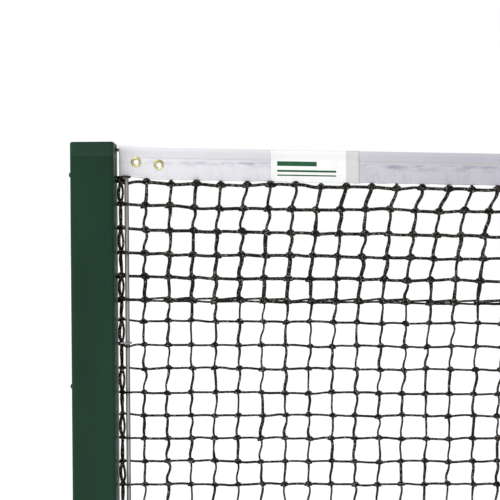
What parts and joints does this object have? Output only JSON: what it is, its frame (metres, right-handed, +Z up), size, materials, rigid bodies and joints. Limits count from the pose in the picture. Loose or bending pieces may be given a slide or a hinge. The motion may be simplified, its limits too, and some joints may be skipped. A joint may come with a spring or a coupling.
{
  "type": "tennis net",
  "caption": "Full-length tennis net with square posts in ground sockets, white headband over a wound cable, braided mesh, side rods, hooks and centre strap.",
  "frame": {"origin": "court surface midway between the posts", "axes": "+X along the net towards the winch post, front is -Y, +Z up"},
  "size_m": [13.024, 0.128, 1.4672],
  "materials": {
    "post_coat": "dark green powder coat",
    "head_coat": "green powder coat on a casting",
    "galvanised": "hot-dip galvanised steel",
    "steel": "bright stainless steel",
    "dark_steel": "blackened steel",
    "pulley_black": "moulded nylon",
    "cable_coat": "black vinyl over steel rope",
    "band_fabric": "white coated polyester webbing",
    "label_fabric": "white sewn patch",
    "twine": "black braided polyethylene twine",
    "brass": "dull brass",
    "rod_grey": "grey glass-fibre rod",
    "strap_web": "white woven webbing",
    "grip_black": "moulded rubber"
  },
  "bodies": {
    "net_frame": {"left_ground_socket": "galvanised", "right_ground_socket": "galvanised", "left_post": "post_coat", "right_post": "post_coat", "left_post_head": "head_coat", "right_post_head": "head_coat", "left_pulley_pin": "steel", "right_pulley_pin": "steel", "left_post_screws": "dark_steel", "right_post_screws": "dark_steel", "cable_peg": "steel", "cable_ferrule": "steel", "head_cable": "cable_coat", "headband_left": "band_fabric", "headband_right": "band_fabric", "band_eyelets": "brass", "band_label": "label_fabric", "netting_upper_left": "twine", "netting_upper_right": "twine", "netting_lower_left": "twine", "netting_lower_right": "twine", "left_side_cord": "twine", "right_side_cord": "twine", "bottom_cord": "twine", "left_net_rod": "rod_grey", "right_net_rod": "rod_grey", "winch_frame": "galvanised", "winch_screws": "dark_steel", "worm_bushes": "brass", "drum_axle": "steel", "centre_strap": "strap_web", "strap_ring": "steel", "snap_hook": "steel", "gate_pin": "dark_steel", "centre_anchor": "galvanised", "left_hook_4": "dark_steel", "right_hook_4": "steel"},
    "left_pulley": {"left_pulley": "pulley_black"},
    "right_pulley": {"right_pulley": "pulley_black"},
    "worm": {"worm_shaft": "steel"},
    "drum": {"cable_drum": "galvanised", "worm_wheel": "brass", "cable_wraps": "cable_coat"},
    "crank": {"crank_arm": "dark_steel", "grip_axle": "steel"},
    "grip": {"crank_grip": "grip_black"},
    "strap_slide": {"strap_slide": "steel"},
    "snap_gate": {"snap_gate": "steel"},
    "left_hook_1": {"left_hook_1": "steel"},
    "left_hook_2": {"left_hook_2": "steel"},
    "left_hook_3": {"left_hook_3": "steel"},
    "right_hook_1": {"right_hook_1": "steel"},
    "right_hook_2": {"right_hook_2": "steel"},
    "right_hook_3": {"right_hook_3": "steel"}
  },
  "joints": [
    {"name": "crank_turn", "type": "hinge", "parent": "net_frame", "child": "worm", "pos_m": [6.4, 0.018, 0.7592], "axis": [1, 0, 0], "continuous": true},
    {"name": "drum_turn", "type": "hinge", "parent": "net_frame", "child": "drum", "pos_m": [6.4027, 0, 0.79], "axis": [0, 1, 0], "continuous": true},
    {"name": "right_pulley_turn", "type": "hinge", "parent": "net_frame", "child": "right_pulley", "pos_m": [6.4, 0, 1.0505], "axis": [0, 1, 0], "continuous": true},
    {"name": "left_pulley_turn", "type": "hinge", "parent": "net_frame", "child": "left_pulley", "pos_m": [-6.4, 0, 1.0505], "axis": [0, 1, 0], "continuous": true},
    {"name": "crank_pull_off", "type": "slide", "parent": "worm", "child": "crank", "axis": [1, 0, 0], "range_m": [0, 0.045]},
    {"name": "grip_spin", "type": "hinge", "parent": "crank", "child": "grip", "pos_m": [6.52, 0.018, 0.5992], "axis": [1, 0, 0], "continuous": true},
    {"name": "strap_slide_travel", "type": "slide", "parent": "net_frame", "child": "strap_slide", "axis": [0, 0, 1], "range_m": [-0.08, 0.08]},
    {"name": "snap_gate_swing", "type": "hinge", "parent": "net_frame", "child": "snap_gate", "pos_m": [0, -0.009, 0], "axis": [1, 0, 0], "range_deg": [0, 20], "stiffness_Nm_per_rad": 0.02, "springref_deg": -17.19},
    {"name": "left_hook_1_slide", "type": "slide", "parent": "net_frame", "child": "left_hook_1", "axis": [0, 0, 1], "range_m": [0, 0.02]},
    {"name": "left_hook_2_slide", "type": "slide", "parent": "net_frame", "child": "left_hook_2", "axis": [0, 0, 1], "range_m": [0, 0.02]},
    {"name": "left_hook_3_slide", "type": "slide", "parent": "net_frame", "child": "left_hook_3", "axis": [0, 0, 1], "range_m": [0, 0.02]},
    {"name": "right_hook_1_slide", "type": "slide", "parent": "net_frame", "child": "right_hook_1", "axis": [0, 0, 1], "range_m": [0, 0.02]},
    {"name": "right_hook_2_slide", "type": "slide", "parent": "net_frame", "child": "right_hook_2", "axis": [0, 0, 1], "range_m": [0, 0.02]},
    {"name": "right_hook_3_slide", "type": "slide", "parent": "net_frame", "child": "right_hook_3", "axis": [0, 0, 1], "range_m": [0, 0.02]}
  ],
  "couplings": [
    {"joint": "drum_turn", "follows": "crank_turn", "ratio": 0.05},
    {"joint": "right_pulley_turn", "follows": "crank_turn", "ratio": 0.043571}
  ]
}
